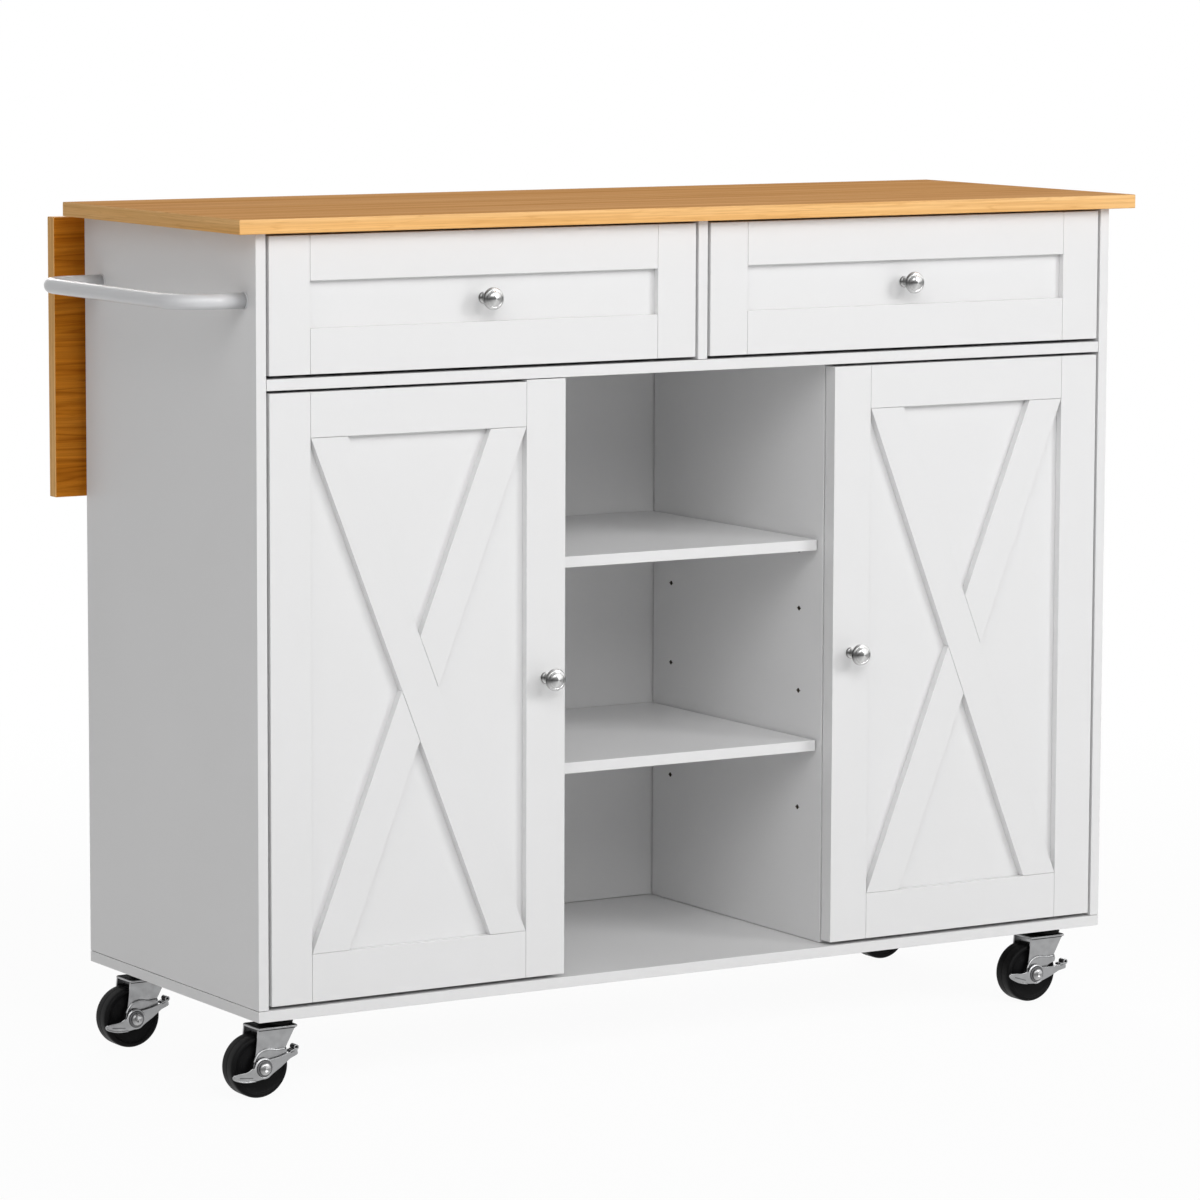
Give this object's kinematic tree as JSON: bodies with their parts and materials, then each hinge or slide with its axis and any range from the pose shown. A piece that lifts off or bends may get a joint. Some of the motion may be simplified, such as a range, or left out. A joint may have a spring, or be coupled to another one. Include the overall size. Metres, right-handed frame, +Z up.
{
  "type": "drop leaf kitchen island",
  "caption": "Kitchen island on braked swivel casters: cupboards with cross-braced doors, drawers, open shelves, a towel bar and a folding rear leaf.",
  "frame": {"origin": "on the floor, under the centre of the overall box with the leaf hanging", "axes": "+X along the front to the right as seen from the front, +Y from the front to the back, +Z up"},
  "size_m": [1.165, 0.448, 0.898],
  "materials": {
    "white_panel": "satin white laminate",
    "worktop_wood": "satin, straight fine grain",
    "dowel_wood": "bare",
    "bar_paint": "satin powder coat",
    "knob_chrome": "polished",
    "hardware_steel": "zinc plated",
    "caster_zinc": "zinc plated",
    "wheel_rubber": "matt black"
  },
  "bodies": {
    "cabinet": {"bottom_panel": "white_panel", "left_side_panel": "white_panel", "right_side_panel": "white_panel", "middle_panel": "white_panel", "left_divider": "white_panel", "right_divider": "white_panel", "drawer_divider": "white_panel", "back_panel": "white_panel", "worktop": "worktop_wood", "upper_shelf": "white_panel", "lower_shelf": "white_panel", "cupboard_shelves": "white_panel", "shelf_pins": "hardware_steel", "carcass_dowels": "dowel_wood", "towel_bar": "bar_paint", "cabinet_screws": "hardware_steel", "hinge_arms": "hardware_steel", "slide_outer_rails": "hardware_steel", "bracket_wall_arms": "hardware_steel", "caster_stems": "caster_zinc"},
    "left_door": {"left_door_frame": "white_panel", "left_door_panel": "white_panel", "left_door_cross": "white_panel", "left_door_knob": "knob_chrome", "left_door_hinge_cups": "hardware_steel"},
    "left_drawer": {"left_drawer_front": "white_panel", "left_drawer_panel": "white_panel", "left_drawer_box": "white_panel", "left_drawer_bottom": "white_panel", "left_drawer_knob": "knob_chrome", "left_slide_inner_rails": "hardware_steel"},
    "left_slides": {"left_slide_middle_rails": "hardware_steel"},
    "right_door": {"right_door_frame": "white_panel", "right_door_panel": "white_panel", "right_door_cross": "white_panel", "right_door_knob": "knob_chrome", "right_door_hinge_cups": "hardware_steel"},
    "right_drawer": {"right_drawer_front": "white_panel", "right_drawer_panel": "white_panel", "right_drawer_box": "white_panel", "right_drawer_bottom": "white_panel", "right_drawer_knob": "knob_chrome", "right_slide_inner_rails": "hardware_steel"},
    "right_slides": {"right_slide_middle_rails": "hardware_steel"},
    "leaf": {"drop_leaf": "worktop_wood", "bracket_leaf_arms": "hardware_steel", "leaf_screws": "hardware_steel"},
    "braces": {"bracket_braces": "hardware_steel"},
    "front_left_swivel": {"front_left_fork": "caster_zinc"},
    "front_left_roller": {"front_left_wheel": "wheel_rubber"},
    "front_left_brake": {"front_left_brake_lever": "caster_zinc"},
    "front_right_swivel": {"front_right_fork": "caster_zinc"},
    "front_right_roller": {"front_right_wheel": "wheel_rubber"},
    "front_right_brake": {"front_right_brake_lever": "caster_zinc"},
    "rear_left_swivel": {"rear_left_fork": "caster_zinc"},
    "rear_left_roller": {"rear_left_wheel": "wheel_rubber"},
    "rear_left_brake": {"rear_left_brake_lever": "caster_zinc"},
    "rear_right_swivel": {"rear_right_fork": "caster_zinc"},
    "rear_right_roller": {"rear_right_wheel": "wheel_rubber"},
    "rear_right_brake": {"rear_right_brake_lever": "caster_zinc"}
  },
  "joints": [
    {"name": "left_door_hinge", "type": "hinge", "parent": "cabinet", "child": "left_door", "pos_m": [-0.4675, -0.1885, 0.4105], "axis": [0, 0, 1], "range_deg": [-100, 0]},
    {"name": "right_door_hinge", "type": "hinge", "parent": "cabinet", "child": "right_door", "pos_m": [0.5225, -0.1885, 0.4105], "axis": [0, 0, 1], "range_deg": [0, 100]},
    {"name": "left_drawer_slide", "type": "slide", "parent": "cabinet", "child": "left_drawer", "axis": [0, -1, 0], "range_m": [0, 0.28]},
    {"name": "left_slide_extension", "type": "slide", "parent": "cabinet", "child": "left_slides", "axis": [0, -1, 0], "range_m": [0, 0.14]},
    {"name": "right_drawer_slide", "type": "slide", "parent": "cabinet", "child": "right_drawer", "axis": [0, -1, 0], "range_m": [0, 0.28]},
    {"name": "right_slide_extension", "type": "slide", "parent": "cabinet", "child": "right_slides", "axis": [0, -1, 0], "range_m": [0, 0.14]},
    {"name": "leaf_hinge", "type": "hinge", "parent": "cabinet", "child": "leaf", "pos_m": [0.0275, 0.1975, 0.8715], "axis": [1, 0, 0], "range_deg": [0, 90]},
    {"name": "brace_pivot", "type": "hinge", "parent": "cabinet", "child": "braces", "pos_m": [0.0275, 0.1975, 0.7715], "axis": [1, 0, 0], "range_deg": [0, 132]},
    {"name": "front_left_swivel_turn", "type": "hinge", "parent": "cabinet", "child": "front_left_swivel", "pos_m": [-0.4645, -0.162, 0.077], "axis": [0, 0, 1], "continuous": true},
    {"name": "front_left_wheel_roll", "type": "hinge", "parent": "front_left_swivel", "child": "front_left_roller", "pos_m": [-0.4885, -0.162, 0.0325], "axis": [0, 1, 0], "continuous": true},
    {"name": "front_left_brake_press", "type": "hinge", "parent": "front_left_swivel", "child": "front_left_brake", "pos_m": [-0.4885, -0.162, 0.0325], "axis": [0, 1, 0], "range_deg": [0, 12]},
    {"name": "front_right_swivel_turn", "type": "hinge", "parent": "cabinet", "child": "front_right_swivel", "pos_m": [0.5075, -0.162, 0.077], "axis": [0, 0, 1], "continuous": true},
    {"name": "front_right_wheel_roll", "type": "hinge", "parent": "front_right_swivel", "child": "front_right_roller", "pos_m": [0.4835, -0.162, 0.0325], "axis": [0, 1, 0], "continuous": true},
    {"name": "front_right_brake_press", "type": "hinge", "parent": "front_right_swivel", "child": "front_right_brake", "pos_m": [0.4835, -0.162, 0.0325], "axis": [0, 1, 0], "range_deg": [-12, 0]},
    {"name": "rear_left_swivel_turn", "type": "hinge", "parent": "cabinet", "child": "rear_left_swivel", "pos_m": [-0.4645, 0.127, 0.077], "axis": [0, 0, 1], "continuous": true},
    {"name": "rear_left_wheel_roll", "type": "hinge", "parent": "rear_left_swivel", "child": "rear_left_roller", "pos_m": [-0.4885, 0.127, 0.0325], "axis": [0, 1, 0], "continuous": true},
    {"name": "rear_left_brake_press", "type": "hinge", "parent": "rear_left_swivel", "child": "rear_left_brake", "pos_m": [-0.4885, 0.127, 0.0325], "axis": [0, 1, 0], "range_deg": [0, 12]},
    {"name": "rear_right_swivel_turn", "type": "hinge", "parent": "cabinet", "child": "rear_right_swivel", "pos_m": [0.5075, 0.127, 0.077], "axis": [0, 0, 1], "continuous": true},
    {"name": "rear_right_wheel_roll", "type": "hinge", "parent": "rear_right_swivel", "child": "rear_right_roller", "pos_m": [0.4835, 0.127, 0.0325], "axis": [0, 1, 0], "continuous": true},
    {"name": "rear_right_brake_press", "type": "hinge", "parent": "rear_right_swivel", "child": "rear_right_brake", "pos_m": [0.4835, 0.127, 0.0325], "axis": [0, 1, 0], "range_deg": [0, 12]}
  ],
  "couplings": [
    {"joint": "left_slide_extension", "follows": "left_drawer_slide", "ratio": 0.5},
    {"joint": "right_slide_extension", "follows": "right_drawer_slide", "ratio": 0.5},
    {"joint": "brace_pivot", "follows": "leaf_hinge", "ratio": 1.4645}
  ]
}
